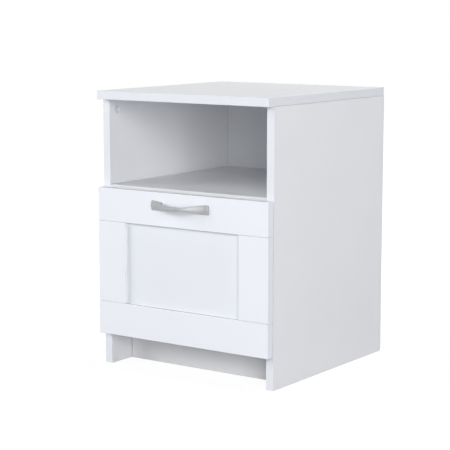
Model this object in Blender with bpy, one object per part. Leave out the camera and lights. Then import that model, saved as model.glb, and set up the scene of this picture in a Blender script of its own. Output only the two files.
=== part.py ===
"""Bedside cabinet: an open niche over one framed drawer that runs on roller runners.

Metres, +Z up. The drawer front faces -Y and the right side +X. The origin lies on the floor under the
middle of the cabinet's bounding box, handle included.
"""
from math import cos, pi, sin

import bmesh
import bpy
from mathutils import Matrix, Vector

# Overall size: across the sides, floor to top, and front edge to back edge of the top
CABINET_WIDTH = 0.391
CABINET_HEIGHT = 0.530
CABINET_DEPTH = 0.410

# Stock: laminated chipboard, hardboard, and the small round on every sawn edge
BOARD = 0.016
BACK_THICKNESS = 0.0025
DRAWER_BOTTOM_THICKNESS = 0.003
ARRIS = 0.0005

# Gap left where two pieces touch
GAP = 0.0003

# Carcass: clear height of the niche, space under the bottom panel, plinth behind the sides' front edges
NICHE_HEIGHT = 0.163
TOE_HEIGHT = 0.062
PLINTH_SETBACK = 0.0605
BACK_SIDE_INSET = 0.001
BACK_FLOOR_GAP = 0.003

# Framed drawer front: rails run full width, stiles stand between them, the panel sits in a groove
FRONT_THICKNESS = 0.016
FRONT_CLOSING_GAP = 0.002
FRONT_REVEAL = 0.0004
SHELF_EDGE_SHOWN = 0.005
RAIL_HEIGHT = 0.064
STILE_WIDTH = 0.0645
PANEL_RECESS = 0.007
PANEL_BACK_LIP = 0.003
PANEL_GROOVE = 0.008
TENON_SHOULDER = 0.012
FRONT_ARRIS = 0.0008

# Drawer box
DRAWER_REAR_SPACE = 0.044
DRAWER_HEADROOM = 0.039
DRAWER_BOTTOM_RISE = 0.010
DRAWER_BOTTOM_GROOVE = 0.006
DRAWER_BACK_HOUSING = 0.004

# Roller runners, folded from thin steel, in the space beside each drawer side
RUNNER_SPACE = 0.013
STEEL = 0.0012
RUNNER_RISE = 0.003
RUNNER_END_INSET = 0.002
RUNNER_OVERRUN = 0.006
RUNNER_LIP = 0.014
RUNNER_WEB = 0.007
FLANGE_GAP = 0.0007
ROLLER_RADIUS = 0.0085
ROLLER_INSET = 0.012
ROLLER_SIDE_GAP = 0.0013
ROLLER_HEADROOM = 0.0007
ROLLER_ROUND = 0.0008
AXLE_RADIUS = 0.002
AXLE_HEAD_RADIUS = 0.0035
TAB_DROP = 0.005

# Bow handle
HANDLE_LENGTH = 0.131
HANDLE_REACH = 0.026
HANDLE_DROP = 0.0247
HANDLE_END_HEIGHT = 0.0184
HANDLE_WAIST_HEIGHT = 0.0070
HANDLE_END_THICKNESS = 0.0030
HANDLE_WAIST_THICKNESS = 0.005
HANDLE_CROWN = 0.0016
HANDLE_CREST_SHARE = 0.19
HANDLE_FOOT_SHARE = 0.93
HANDLE_HOLE_SPACING = 0.096
HANDLE_LEG = 0.008
HANDLE_SKIN = 0.002
SCREW_RADIUS = 0.002
SCREW_HEAD_RADIUS = 0.004
SCREW_HEAD_HEIGHT = 0.0024

# Cam locks, connecting bolts and dowels
CAM_RADIUS = 0.0072
CAM_DISTANCE = 0.0205
CAM_UNDERCUT = 0.0015
CAM_RECESS_LENGTH = 0.0080
CAM_RECESS_WIDTH = 0.0015
CAM_RECESS_DEPTH = 0.0018
BOLT_THREAD_RADIUS = 0.0025
BOLT_SHANK_RADIUS = 0.0028
BOLT_NECK_RADIUS = 0.0018
BOLT_HEAD_RADIUS = 0.0030
BOLT_HEAD_REACH = 0.0020
BOLT_POINT = 0.0015
BOLT_COVER = 0.005
DOWEL_RADIUS = 0.004
DOWEL_COVER = 0.006
DOWEL_END_BITE = 0.020
DOWEL_CHAMFER = 0.001
TOP_CAM_INSET = 0.0237
SHELF_FIXING_INSET = 0.050
BOTTOM_FIXING_INSET = 0.035

# Sides of round pieces
WHEEL_STEPS = 32
FITTING_STEPS = 24
FASTENER_STEPS = 12

# Places worked out from the sizes above
REACH_OVER_ALL = HANDLE_REACH + GAP + CABINET_DEPTH + GAP + BACK_THICKNESS
FRONT_Y = HANDLE_REACH + GAP - REACH_OVER_ALL / 2
BACK_Y = FRONT_Y + CABINET_DEPTH
CARCASS_FRONT_Y = FRONT_Y + FRONT_THICKNESS + FRONT_CLOSING_GAP
OUTER_X = CABINET_WIDTH / 2
INNER_X = OUTER_X - BOARD
TOP_UNDERSIDE = CABINET_HEIGHT - BOARD
SHELF_TOP = TOP_UNDERSIDE - NICHE_HEIGHT
SHELF_UNDERSIDE = SHELF_TOP - BOARD
BOTTOM_TOP = TOE_HEIGHT + BOARD
PLINTH_Y = CARCASS_FRONT_Y + PLINTH_SETBACK

FRONT_HALF = OUTER_X - FRONT_REVEAL
FRONT_BACK_Y = FRONT_Y + FRONT_THICKNESS
FRONT_TOP = SHELF_TOP - SHELF_EDGE_SHOWN
STILE_LOW = TOE_HEIGHT + RAIL_HEIGHT
STILE_HIGH = FRONT_TOP - RAIL_HEIGHT
PANEL_HALF = FRONT_HALF - STILE_WIDTH
PANEL_FRONT_Y = FRONT_Y + PANEL_RECESS
PANEL_BACK_Y = FRONT_BACK_Y - PANEL_BACK_LIP

BOX_FRONT_Y = FRONT_BACK_Y + GAP
BOX_BACK_Y = BACK_Y - DRAWER_REAR_SPACE
BOX_OUTER_X = INNER_X - RUNNER_SPACE
BOX_INNER_X = BOX_OUTER_X - BOARD

TRACK_LOW = BOTTOM_TOP + RUNNER_RISE
TRACK_TOP = TRACK_LOW + STEEL
REAR_ROLLER_Z = TRACK_TOP + GAP + ROLLER_RADIUS
RUN_Z = REAR_ROLLER_Z + ROLLER_RADIUS + ROLLER_HEADROOM
FRONT_ROLLER_Z = RUN_Z - GAP - ROLLER_RADIUS
CHANNEL_TOP = RUN_Z + STEEL + GAP + STEEL
LIP_Z = RUN_Z + STEEL - RUNNER_WEB
BOX_LOW = LIP_Z + STEEL + GAP
BOX_HIGH = SHELF_UNDERSIDE - DRAWER_HEADROOM
DRAWER_BOTTOM_Z = BOX_LOW + DRAWER_BOTTOM_RISE
CHANNEL_FRONT_Y = CARCASS_FRONT_Y + RUNNER_END_INSET
CHANNEL_BACK_Y = BOX_BACK_Y + RUNNER_OVERRUN
FRONT_ROLLER_Y = CHANNEL_FRONT_Y + ROLLER_INSET
REAR_ROLLER_Y = BOX_BACK_Y - ROLLER_INSET
HANDLE_Z = FRONT_TOP - HANDLE_DROP

CLEAR_OF_FACE = ARRIS * 2
BOLT_BITE = BOARD - BOLT_COVER
DOWEL_BITE = BOARD - DOWEL_COVER
CAM_BORE = BOARD / 2 + BOLT_HEAD_RADIUS + CAM_UNDERCUT

LEFT_AND_RIGHT = (("left", -1), ("right", 1))
X_AXIS = Vector((1, 0, 0))
Y_AXIS = Vector((0, 1, 0))
Z_AXIS = Vector((0, 0, 1))


def linear(*shades):
    """Screen shades, 0 to 255, as a linear colour."""
    channels = []
    for shade in shades:
        share = shade / 255
        channels.append(share / 12.92 if share <= 0.04045 else ((share + 0.055) / 1.055) ** 2.4)
    return (*channels, 1.0)


def material(name, shades, roughness, metallic=0.0):
    """A plain finish: colour, roughness and metallic value."""
    finish = bpy.data.materials.new(name)
    finish.use_nodes = True
    shader = finish.node_tree.nodes["Principled BSDF"]
    shader.inputs["Base Color"].default_value = linear(*shades)
    shader.inputs["Roughness"].default_value = roughness
    shader.inputs["Metallic"].default_value = metallic
    return finish


def empty(name, at):
    """A holder that the pieces of one body hang from."""
    holder = bpy.data.objects.new(name, None)
    holder.location = at
    bpy.context.scene.collection.objects.link(holder)
    return holder


def piece(name, form, finish, at, holder, turn=None):
    """Make an object from a finished bmesh, at a place in the world, under its holder."""
    bmesh.ops.recalc_face_normals(form, faces=form.faces)
    mesh = bpy.data.meshes.new(name)
    form.to_mesh(mesh)
    form.free()
    mesh.materials.append(finish)
    made = bpy.data.objects.new(name, mesh)
    made.parent = holder
    made.location = Vector(at) - holder.location
    if turn is not None:
        made.rotation_euler = turn.to_euler()
    bpy.context.scene.collection.objects.link(made)
    return made


def smooth(made):
    """Shade a round piece smooth, with its real edges sharp."""
    made.data.shade_smooth()
    made.data.set_sharp_from_angle(angle=pi / 5)


def box_form(low, high, middle=Vector()):
    """A cuboid between two corners, about a middle point."""
    low = Vector(low)
    high = Vector(high)
    form = bmesh.new()
    place = Matrix.Translation((low + high) / 2 - Vector(middle))
    bmesh.ops.create_cube(form, size=1, matrix=place @ Matrix.Diagonal((*(high - low), 1)))
    return form


def board(name, low, high, finish, holder, arris=ARRIS):
    """A sawn board with its edges eased."""
    middle = (Vector(low) + Vector(high)) / 2
    form = box_form(low, high, middle)
    if arris:
        bmesh.ops.bevel(form, geom=form.edges[:], offset=arris, segments=1, affect="EDGES")
    return piece(name, form, finish, middle, holder)


def rod_form(start, along, radius, length, steps):
    """A round rod whose flats lie at the given radius."""
    form = bmesh.new()
    turn = along.to_track_quat("Z", "Y").to_matrix().to_4x4()
    place = Matrix.Translation(Vector(start) + along * length / 2) @ turn
    across = radius / cos(pi / steps)
    bmesh.ops.create_cone(
        form, cap_ends=True, segments=steps, radius1=across, radius2=across, depth=length, matrix=place
    )
    return form


def turned_form(profile, steps, closed=False):
    """Turn a profile of (radius, height) points about the height axis; closed makes a ring."""
    form = bmesh.new()
    rings = []
    for radius, height in profile:
        if radius:
            angles = [2 * pi * step / steps for step in range(steps)]
            rings.append([form.verts.new((radius * cos(a), radius * sin(a), height)) for a in angles])
        else:
            rings.append([form.verts.new((0, 0, height))] * steps)
    pairs = list(zip(rings, rings[1:]))
    if closed:
        pairs.append((rings[-1], rings[0]))
    for lower, upper in pairs:
        for step in range(steps):
            after = (step + 1) % steps
            corners = [lower[step], lower[after], upper[after], upper[step]]
            form.faces.new(dict.fromkeys(corners))
    return form


def prism_form(outline, low_y, high_y):
    """An outline of (x, z) points drawn out along Y."""
    form = bmesh.new()
    face = form.faces.new([form.verts.new((x, low_y, z)) for x, z in outline])
    drawn = bmesh.ops.extrude_face_region(form, geom=[face])
    moved = [item for item in drawn["geom"] if isinstance(item, bmesh.types.BMVert)]
    bmesh.ops.translate(form, verts=moved, vec=(0, high_y - low_y, 0))
    return form


def shape_with(target, form, operation):
    """Cut a form, given in world places, out of a piece, or weld it on."""
    bmesh.ops.recalc_face_normals(form, faces=form.faces)
    mesh = bpy.data.meshes.new("cutter")
    form.to_mesh(mesh)
    form.free()
    cutter = bpy.data.objects.new("cutter", mesh)
    bpy.context.scene.collection.objects.link(cutter)
    boolean = target.modifiers.new("shape", "BOOLEAN")
    boolean.operation = operation
    boolean.solver = "EXACT"
    boolean.object = cutter
    bpy.context.view_layer.update()
    depsgraph = bpy.context.evaluated_depsgraph_get()
    shaped = bpy.data.meshes.new_from_object(target.evaluated_get(depsgraph), depsgraph=depsgraph)
    target.modifiers.clear()
    plain = target.data
    target.data = shaped
    bpy.data.meshes.remove(plain)
    bpy.data.objects.remove(cutter)
    bpy.data.meshes.remove(mesh)
    shaped.name = target.name


def bore(target, mouth, inward, radius, depth, steps=FASTENER_STEPS):
    """Drill a hole from a point on the surface."""
    start = Vector(mouth) - inward * CLEAR_OF_FACE
    shape_with(target, rod_form(start, inward, radius, depth + CLEAR_OF_FACE, steps), "DIFFERENCE")


def groove(target, low, high):
    """Rout a square groove between two corners."""
    shape_with(target, box_form(low, high), "DIFFERENCE")


def cam_lock(name, centre, outward, towards_joint, holder):
    """The round zinc cam: a drive cross in its face and a way in for the bolt's head."""
    profile = [(0, -CAM_BORE + GAP), (CAM_RADIUS, -CAM_BORE + GAP), (CAM_RADIUS, -GAP), (0, -GAP)]
    cam = piece(name, turned_form(profile, FITTING_STEPS), ZINC, (0, 0, 0), holder)
    way = BOLT_HEAD_RADIUS + GAP
    way_low = (-BOLT_HEAD_REACH - GAP * 2, -way, -CAM_BORE - GAP)
    way_high = (CAM_RADIUS * 2, way, way - BOARD / 2)
    shape_with(cam, box_form(way_low, way_high), "DIFFERENCE")
    for long, wide in ((CAM_RECESS_LENGTH, CAM_RECESS_WIDTH), (CAM_RECESS_WIDTH, CAM_RECESS_LENGTH)):
        recess_low = (-long / 2, -wide / 2, -CAM_RECESS_DEPTH)
        shape_with(cam, box_form(recess_low, (long / 2, wide / 2, GAP)), "DIFFERENCE")
    across = outward.cross(towards_joint)
    cam.rotation_euler = Matrix((towards_joint, across, outward)).transposed().to_euler()
    cam.location = centre - holder.location
    smooth(cam)


def connecting_bolt(name, joint, into_end, bite, holder):
    """The steel bolt that is screwed into a face and hooked by the cam."""
    neck_start = CAM_DISTANCE - CAM_RADIUS
    profile = [
        (0, -bite),
        (BOLT_NECK_RADIUS, -bite),
        (BOLT_THREAD_RADIUS, BOLT_POINT - bite),
        (BOLT_THREAD_RADIUS, GAP * 2),
        (BOLT_SHANK_RADIUS, GAP * 3),
        (BOLT_SHANK_RADIUS, neck_start),
        (BOLT_NECK_RADIUS, neck_start + GAP * 3),
        (BOLT_NECK_RADIUS, CAM_DISTANCE - BOLT_HEAD_REACH),
        (BOLT_HEAD_RADIUS, CAM_DISTANCE - BOLT_HEAD_REACH + GAP * 2),
        (BOLT_HEAD_RADIUS, CAM_DISTANCE + GAP),
        (BOLT_NECK_RADIUS, CAM_DISTANCE + BOLT_HEAD_REACH),
        (0, CAM_DISTANCE + BOLT_HEAD_REACH),
    ]
    turn = into_end.to_track_quat("Z", "Y").to_matrix()
    smooth(piece(name, turned_form(profile, FASTENER_STEPS), ZINC, joint, holder, turn))


def join_with_cam(names, face_board, end_board, joint, into_end, cam_side, bite, holder):
    """Drill both boards at a joint, then fit the connecting bolt and its cam."""
    cam_name, bolt_name = names
    seat = joint + into_end * GAP
    centre = joint + into_end * CAM_DISTANCE + cam_side * BOARD / 2
    bore(face_board, joint, -into_end, BOLT_THREAD_RADIUS + GAP, bite + GAP)
    bore(end_board, seat, into_end, BOLT_HEAD_RADIUS + GAP, CAM_DISTANCE)
    bore(end_board, centre, -cam_side, CAM_RADIUS + GAP, CAM_BORE, FITTING_STEPS)
    cam_lock(cam_name, centre, cam_side, -into_end, holder)
    connecting_bolt(bolt_name, joint, into_end, bite, holder)


def join_with_dowel(name, face_board, end_board, joint, into_end, bite, holder):
    """Drill both boards at a joint, then fit a beech dowel across it."""
    bore(face_board, joint, -into_end, DOWEL_RADIUS + GAP, bite + GAP)
    bore(end_board, joint + into_end * GAP, into_end, DOWEL_RADIUS + GAP, DOWEL_END_BITE)
    tip = DOWEL_RADIUS - DOWEL_CHAMFER
    profile = [
        (0, -bite),
        (tip, -bite),
        (DOWEL_RADIUS, DOWEL_CHAMFER - bite),
        (DOWEL_RADIUS, DOWEL_END_BITE - DOWEL_CHAMFER),
        (tip, DOWEL_END_BITE),
        (0, DOWEL_END_BITE),
    ]
    turn = into_end.to_track_quat("Z", "Y").to_matrix()
    smooth(piece(name, turned_form(profile, FASTENER_STEPS), BEECH, joint, holder, turn))


def beside(hand, distance):
    """X of a point that far from the cabinet side, towards the drawer."""
    return hand * (INNER_X - distance)


for old in list(bpy.data.objects):
    bpy.data.objects.remove(old)

LAMINATE = material("white_laminate", (240, 242, 246), 0.42)
FOIL = material("white_front_foil", (243, 245, 249), 0.36)
HARDBOARD = material("white_hardboard", (228, 229, 230), 0.6)
ENAMEL = material("white_enamel", (226, 227, 228), 0.4)
NYLON = material("roller_nylon", (205, 205, 200), 0.5)
ZINC = material("zinc", (176, 178, 180), 0.35, 1.0)
STEEL_FINISH = material("bright_steel", (168, 170, 172), 0.3, 1.0)
SATIN_METAL = material("satin_grey_metal", (178, 180, 182), 0.34, 1.0)
BEECH = material("beech", (206, 172, 128), 0.65)

cabinet = empty("cabinet", (0, 0, 0))
drawer = empty("drawer", (0, FRONT_BACK_Y, BOX_LOW))

# Carcass boards: the top lies on the sides, shelf, bottom and plinth stand between them
top = board(
    "top_panel", (-OUTER_X, FRONT_Y, TOP_UNDERSIDE), (OUTER_X, BACK_Y, CABINET_HEIGHT), LAMINATE, cabinet
)
sides = {}
for side, hand in LEFT_AND_RIGHT:
    middle_x = hand * (OUTER_X - BOARD / 2)
    sides[side] = board(
        f"{side}_side_panel",
        (middle_x - BOARD / 2, CARCASS_FRONT_Y, 0),
        (middle_x + BOARD / 2, BACK_Y, TOP_UNDERSIDE - GAP),
        LAMINATE,
        cabinet,
    )
between = INNER_X - GAP
shelf = board(
    "niche_shelf",
    (-between, CARCASS_FRONT_Y, SHELF_UNDERSIDE),
    (between, BACK_Y, SHELF_TOP),
    LAMINATE,
    cabinet,
)
bottom = board(
    "bottom_panel",
    (-between, CARCASS_FRONT_Y, TOE_HEIGHT),
    (between, BACK_Y, BOTTOM_TOP),
    LAMINATE,
    cabinet,
)
plinth = board(
    "plinth_board",
    (-between, PLINTH_Y, 0),
    (between, PLINTH_Y + BOARD, TOE_HEIGHT - GAP),
    LAMINATE,
    cabinet,
)
back_half = OUTER_X - BACK_SIDE_INSET
board(
    "back_panel",
    (-back_half, BACK_Y + GAP, BACK_FLOOR_GAP),
    (back_half, BACK_Y + GAP + BACK_THICKNESS, TOP_UNDERSIDE - GAP),
    HARDBOARD,
    cabinet,
    arris=0,
)

# Carcass fittings: two cams a side pull the top down, a cam and a dowel hold each end of shelf and bottom
for side, hand in LEFT_AND_RIGHT:
    inward = -hand * X_AXIS
    for end, fixing_y in (("front", CARCASS_FRONT_Y + TOP_CAM_INSET), ("rear", BACK_Y - TOP_CAM_INSET)):
        join_with_cam(
            (f"top_cam_{side}_{end}", f"top_bolt_{side}_{end}"),
            top,
            sides[side],
            Vector((hand * (OUTER_X - BOARD / 2), fixing_y, TOP_UNDERSIDE)),
            -Z_AXIS,
            inward,
            BOLT_BITE,
            cabinet,
        )
    shelf_like = (
        ("shelf", shelf, SHELF_TOP - BOARD / 2, CARCASS_FRONT_Y + SHELF_FIXING_INSET),
        ("bottom", bottom, BOTTOM_TOP - BOARD / 2, PLINTH_Y + BOARD + BOTTOM_FIXING_INSET),
    )
    for level, level_board, fixing_z, cam_y in shelf_like:
        join_with_cam(
            (f"{level}_cam_{side}", f"{level}_bolt_{side}"),
            sides[side],
            level_board,
            Vector((hand * INNER_X, cam_y, fixing_z)),
            inward,
            -Z_AXIS,
            BOLT_BITE,
            cabinet,
        )
        join_with_dowel(
            f"{level}_dowel_{side}",
            sides[side],
            level_board,
            Vector((hand * INNER_X, BACK_Y - SHELF_FIXING_INSET, fixing_z)),
            inward,
            DOWEL_BITE,
            cabinet,
        )
    join_with_dowel(
        f"plinth_dowel_{side}",
        sides[side],
        plinth,
        Vector((hand * INNER_X, PLINTH_Y + BOARD / 2, TOE_HEIGHT / 2)),
        inward,
        DOWEL_BITE,
        cabinet,
    )

# Drawer front: grooved rails and stiles around the recessed panel
groove_low_y = PANEL_FRONT_Y - GAP
groove_high_y = PANEL_BACK_Y + GAP
groove_half = FRONT_HALF - TENON_SHOULDER + GAP
rails = {}
for name, low_z, high_z, edge_z, inward_z in (
    ("bottom", TOE_HEIGHT, STILE_LOW - GAP, STILE_LOW - GAP, -1),
    ("top", STILE_HIGH + GAP, FRONT_TOP, STILE_HIGH + GAP, 1),
):
    rails[name] = board(
        f"front_{name}_rail",
        (-FRONT_HALF, FRONT_Y, low_z),
        (FRONT_HALF, FRONT_BACK_Y, high_z),
        FOIL,
        drawer,
        FRONT_ARRIS,
    )
    depths = sorted((edge_z + inward_z * PANEL_GROOVE, edge_z - inward_z * CLEAR_OF_FACE))
    groove(
        rails[name], (-groove_half, groove_low_y, depths[0]), (groove_half, groove_high_y, depths[1])
    )
stiles = {}
tenon = PANEL_GROOVE - GAP
for side, hand in LEFT_AND_RIGHT:
    across = sorted((hand * PANEL_HALF, hand * FRONT_HALF))
    stiles[side] = board(
        f"front_{side}_stile",
        (across[0], FRONT_Y, STILE_LOW),
        (across[1], FRONT_BACK_Y, STILE_HIGH),
        FOIL,
        drawer,
        FRONT_ARRIS,
    )
    tongue = sorted((hand * (PANEL_HALF + PANEL_GROOVE + GAP), hand * (FRONT_HALF - TENON_SHOULDER)))
    for low_z, high_z in ((STILE_LOW - tenon, STILE_LOW + tenon), (STILE_HIGH - tenon, STILE_HIGH + tenon)):
        form = box_form((tongue[0], PANEL_FRONT_Y, low_z), (tongue[1], PANEL_BACK_Y, high_z))
        shape_with(stiles[side], form, "UNION")
    depths = sorted((hand * (PANEL_HALF - CLEAR_OF_FACE), hand * (PANEL_HALF + PANEL_GROOVE)))
    groove(
        stiles[side],
        (depths[0], groove_low_y, STILE_LOW - CLEAR_OF_FACE),
        (depths[1], groove_high_y, STILE_HIGH + CLEAR_OF_FACE),
    )
board(
    "front_panel",
    (-PANEL_HALF - tenon, PANEL_FRONT_Y, STILE_LOW - tenon),
    (PANEL_HALF + tenon, PANEL_BACK_Y, STILE_HIGH + tenon),
    FOIL,
    drawer,
    arris=0,
)

# Drawer box: sides grooved for the bottom and housed for the back, cammed and dowelled to the stiles
drawer_floor_groove = DRAWER_BOTTOM_Z + DRAWER_BOTTOM_THICKNESS + GAP
housing_front_y = BOX_BACK_Y - BOARD - GAP
stile_quarter = (STILE_HIGH - STILE_LOW) / 4
for side, hand in LEFT_AND_RIGHT:
    across = sorted((hand * BOX_INNER_X, hand * BOX_OUTER_X))
    drawer_side = board(
        f"drawer_{side}_side",
        (across[0], BOX_FRONT_Y, BOX_LOW),
        (across[1], BOX_BACK_Y, BOX_HIGH),
        LAMINATE,
        drawer,
    )
    clear_x = hand * (BOX_INNER_X - CLEAR_OF_FACE)
    depths = sorted((clear_x, hand * (BOX_INNER_X + DRAWER_BOTTOM_GROOVE)))
    groove(
        drawer_side,
        (depths[0], BOX_FRONT_Y - CLEAR_OF_FACE, DRAWER_BOTTOM_Z - GAP),
        (depths[1], BOX_BACK_Y + CLEAR_OF_FACE, drawer_floor_groove),
    )
    depths = sorted((clear_x, hand * (BOX_INNER_X + DRAWER_BACK_HOUSING)))
    groove(
        drawer_side,
        (depths[0], housing_front_y, DRAWER_BOTTOM_Z),
        (depths[1], BOX_BACK_Y + CLEAR_OF_FACE, BOX_HIGH + CLEAR_OF_FACE),
    )
    joint_x = hand * (BOX_INNER_X + BOARD / 2)
    join_with_cam(
        (f"drawer_cam_{side}", f"drawer_bolt_{side}"),
        stiles[side],
        drawer_side,
        Vector((joint_x, FRONT_BACK_Y, STILE_HIGH - stile_quarter)),
        Y_AXIS,
        -hand * X_AXIS,
        FRONT_THICKNESS - BOLT_COVER,
        drawer,
    )
    join_with_dowel(
        f"drawer_dowel_{side}",
        stiles[side],
        drawer_side,
        Vector((joint_x, FRONT_BACK_Y, STILE_LOW + stile_quarter)),
        Y_AXIS,
        FRONT_THICKNESS - DOWEL_COVER,
        drawer,
    )
housed = BOX_INNER_X + DRAWER_BACK_HOUSING - GAP
board(
    "drawer_back",
    (-housed, BOX_BACK_Y - BOARD, drawer_floor_groove),
    (housed, BOX_BACK_Y, BOX_HIGH),
    LAMINATE,
    drawer,
)
bottom_half = BOX_INNER_X + DRAWER_BOTTOM_GROOVE - GAP
board(
    "drawer_bottom",
    (-bottom_half, BOX_FRONT_Y, DRAWER_BOTTOM_Z),
    (bottom_half, BOX_BACK_Y, DRAWER_BOTTOM_Z + DRAWER_BOTTOM_THICKNESS),
    HARDBOARD,
    drawer,
    arris=0,
)

# Roller runners: a channel on each cabinet side, and a rail with a lip under each drawer side
channel_web = GAP + STEEL
rail_web = RUNNER_SPACE - GAP - STEEL
roller_width = rail_web - channel_web - ROLLER_SIDE_GAP * 2
collar = ROLLER_SIDE_GAP - GAP
for side, hand in LEFT_AND_RIGHT:
    flange = rail_web - FLANGE_GAP
    channel_outline = [
        (beside(hand, GAP), TRACK_LOW),
        (beside(hand, flange), TRACK_LOW),
        (beside(hand, flange), TRACK_TOP),
        (beside(hand, channel_web), TRACK_TOP),
        (beside(hand, channel_web), CHANNEL_TOP - STEEL),
        (beside(hand, flange), CHANNEL_TOP - STEEL),
        (beside(hand, flange), CHANNEL_TOP),
        (beside(hand, GAP), CHANNEL_TOP),
    ]
    channel_form = prism_form(channel_outline, CHANNEL_FRONT_Y, CHANNEL_BACK_Y)
    channel = piece(f"cabinet_runner_{side}", channel_form, ENAMEL, (0, 0, 0), cabinet)

    running_edge = channel_web + FLANGE_GAP
    rail_outline = [
        (beside(hand, rail_web), LIP_Z),
        (beside(hand, RUNNER_SPACE + RUNNER_LIP), LIP_Z),
        (beside(hand, RUNNER_SPACE + RUNNER_LIP), LIP_Z + STEEL),
        (beside(hand, rail_web + STEEL), LIP_Z + STEEL),
        (beside(hand, rail_web + STEEL), RUN_Z + STEEL),
        (beside(hand, running_edge), RUN_Z + STEEL),
        (beside(hand, running_edge), RUN_Z),
        (beside(hand, rail_web), RUN_Z),
    ]
    rail_form = prism_form(rail_outline, BOX_FRONT_Y + RUNNER_END_INSET, BOX_BACK_Y)
    rail_form.transform(Matrix.Translation(-drawer.location))
    rail = piece(f"drawer_runner_{side}", rail_form, ENAMEL, drawer.location, drawer)
    inset = STEEL / 10
    tab = sorted((beside(hand, rail_web + inset), beside(hand, rail_web + STEEL - inset)))
    tab_low = (tab[0], REAR_ROLLER_Y - ROLLER_INSET, REAR_ROLLER_Z - TAB_DROP)
    tab_high = (tab[1], BOX_BACK_Y - inset, LIP_Z + STEEL + inset)
    shape_with(rail, box_form(tab_low, tab_high), "UNION")

    roller_profile = [
        (AXLE_RADIUS + GAP, -roller_width / 2),
        (ROLLER_RADIUS - ROLLER_ROUND, -roller_width / 2),
        (ROLLER_RADIUS, ROLLER_ROUND - roller_width / 2),
        (ROLLER_RADIUS, roller_width / 2 - ROLLER_ROUND),
        (ROLLER_RADIUS - ROLLER_ROUND, roller_width / 2),
        (AXLE_RADIUS + GAP, roller_width / 2),
    ]
    axle_profile = [
        (0, inset - roller_width / 2 - ROLLER_SIDE_GAP - STEEL),
        (AXLE_RADIUS, inset - roller_width / 2 - ROLLER_SIDE_GAP - STEEL),
        (AXLE_RADIUS, -roller_width / 2 - collar),
        (AXLE_HEAD_RADIUS, -roller_width / 2 - collar),
        (AXLE_HEAD_RADIUS, -roller_width / 2 - GAP),
        (AXLE_RADIUS, -roller_width / 2 - GAP),
        (AXLE_RADIUS, roller_width / 2 + GAP),
        (AXLE_HEAD_RADIUS, roller_width / 2 + GAP),
        (AXLE_HEAD_RADIUS, roller_width / 2 + collar),
        (0, roller_width / 2 + collar),
    ]
    middle_x = beside(hand, RUNNER_SPACE / 2)
    mountings = (
        ("cabinet", channel, cabinet, -hand * X_AXIS, Vector((middle_x, FRONT_ROLLER_Y, FRONT_ROLLER_Z))),
        ("drawer", rail, drawer, hand * X_AXIS, Vector((middle_x, REAR_ROLLER_Y, REAR_ROLLER_Z))),
    )
    for owner, member, holder, along, centre in mountings:
        hole_start = centre - along * (RUNNER_SPACE / 2 + STEEL)
        hole = rod_form(hole_start, along, AXLE_RADIUS + GAP, STEEL * 4, FASTENER_STEPS)
        shape_with(member, hole, "DIFFERENCE")
        turn = along.to_track_quat("Z", "Y").to_matrix()
        roller_form = turned_form(roller_profile, WHEEL_STEPS, closed=True)
        smooth(piece(f"{owner}_roller_{side}", roller_form, NYLON, centre, holder, turn))
        axle_form = turned_form(axle_profile, FASTENER_STEPS)
        smooth(piece(f"{owner}_axle_{side}", axle_form, STEEL_FINISH, centre, holder, turn))


# Bow handle: an arched strap, waisted in the middle, with a solid leg at each screw
HANDLE_HALF = HANDLE_LENGTH / 2
HANDLE_BOW_HALF = HANDLE_HOLE_SPACING / 2 - HANDLE_LEG
HANDLE_LEG_STATIONS = 6
HANDLE_BOW_STATIONS = 18
HANDLE_SECTION_POINTS = 7


def eased(share, start, end):
    """Goes from 0 at the start to 1 at the end in a soft S."""
    along = min(max((share - start) / (end - start), 0), 1)
    return along * along * (3 - 2 * along)


def handle_reach(x):
    """How far the crown of the strap stands off the drawer front: flat feet and one level arch."""
    rise = HANDLE_REACH - HANDLE_END_THICKNESS
    return HANDLE_END_THICKNESS + rise * eased(abs(x) / HANDLE_HALF, HANDLE_FOOT_SHARE, HANDLE_CREST_SHARE)


def handle_section(x):
    """The outline of the strap, as (reach, height) points: a crowned face and a flat back."""
    flare = eased(abs(x) / HANDLE_HALF, HANDLE_CREST_SHARE, 1)
    half = (HANDLE_WAIST_HEIGHT + (HANDLE_END_HEIGHT - HANDLE_WAIST_HEIGHT) * flare) / 2
    crown = HANDLE_CROWN * half / (HANDLE_END_HEIGHT / 2)
    bow = min(abs(x) / HANDLE_BOW_HALF, 1)
    hollow = (HANDLE_REACH - HANDLE_WAIST_THICKNESS) * (1 - bow ** 4)
    points = [(hollow, -half)]
    for step in range(HANDLE_SECTION_POINTS):
        across = 2 * step / (HANDLE_SECTION_POINTS - 1) - 1
        points.append((handle_reach(x) - crown * across * across, half * across))
    points.append((hollow, half))
    return points


leg_step = (HANDLE_HALF - HANDLE_BOW_HALF) / HANDLE_LEG_STATIONS
leg = [HANDLE_HALF - leg_step * step for step in range(HANDLE_LEG_STATIONS)]
bow = [HANDLE_BOW_HALF * cos(pi * step / HANDLE_BOW_STATIONS) for step in range(HANDLE_BOW_STATIONS + 1)]
stations = leg + bow + [-x for x in reversed(leg)]
handle_form = bmesh.new()
loops = []
for x in stations:
    loops.append([handle_form.verts.new((x, -reach, height)) for reach, height in handle_section(x)])
for one, other in zip(loops, loops[1:]):
    for step in range(len(one)):
        after = (step + 1) % len(one)
        handle_form.faces.new((one[step], one[after], other[after], other[step]))
handle_form.faces.new(loops[0])
handle_form.faces.new(loops[-1])
handle = piece("handle", handle_form, SATIN_METAL, (0, FRONT_Y - GAP, HANDLE_Z), drawer)

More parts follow.
